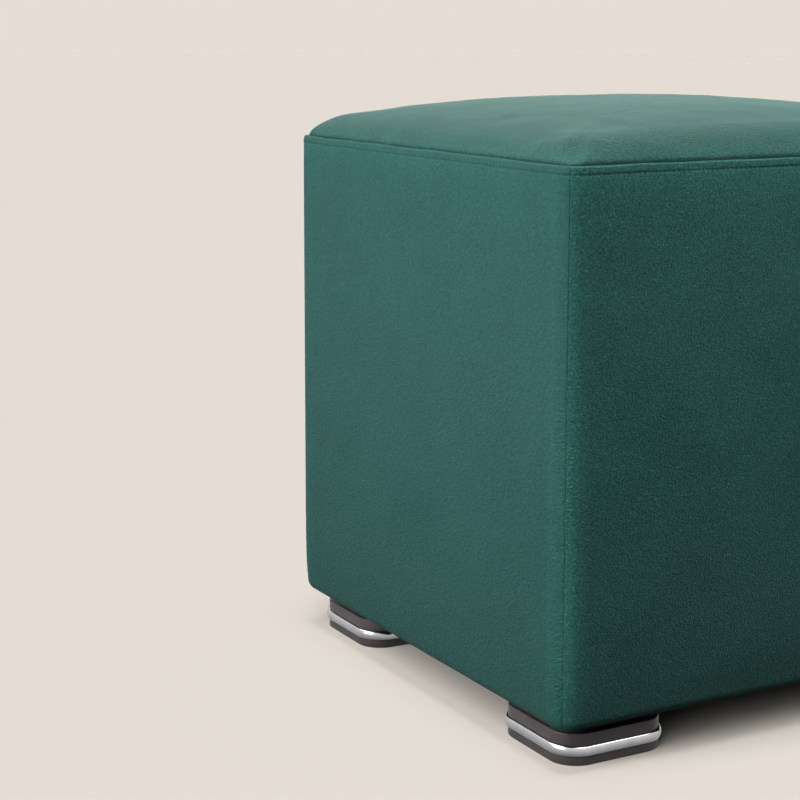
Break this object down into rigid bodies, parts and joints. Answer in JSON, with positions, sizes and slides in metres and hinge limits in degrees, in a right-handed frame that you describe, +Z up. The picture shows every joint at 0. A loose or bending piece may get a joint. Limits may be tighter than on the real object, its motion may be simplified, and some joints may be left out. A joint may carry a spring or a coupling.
{
  "type": "cube pouf stool",
  "caption": "Cube pouf stool with a crowned seat, a topstitched seam round its top edge and low square feet with chrome bands.",
  "frame": {"origin": "on the floor, under the middle of the body", "axes": "+Z up; the front face looks along -Y; +X to the right of the front face"},
  "size_m": [0.42, 0.42, 0.4693],
  "materials": {
    "top_cloth": "short felted pile, soft sheen",
    "side_cloth": "short felted pile, soft sheen",
    "base_cloth": "plain non-woven cloth, matt",
    "foot_plastic": "moulded, satin",
    "foot_chrome": "polished"
  },
  "bodies": {
    "root": {"top_pad": "top_cloth", "side_panel_front": "side_cloth", "side_panel_right": "side_cloth", "side_panel_back": "side_cloth", "side_panel_left": "side_cloth", "base_panel": "base_cloth", "foot_front_left_block": "foot_plastic", "foot_front_left_band": "foot_chrome", "foot_front_left_glide": "foot_plastic", "foot_front_right_block": "foot_plastic", "foot_front_right_band": "foot_chrome", "foot_front_right_glide": "foot_plastic", "foot_back_right_block": "foot_plastic", "foot_back_right_band": "foot_chrome", "foot_back_right_glide": "foot_plastic", "foot_back_left_block": "foot_plastic", "foot_back_left_band": "foot_chrome", "foot_back_left_glide": "foot_plastic"}
  },
  "joints": []
}
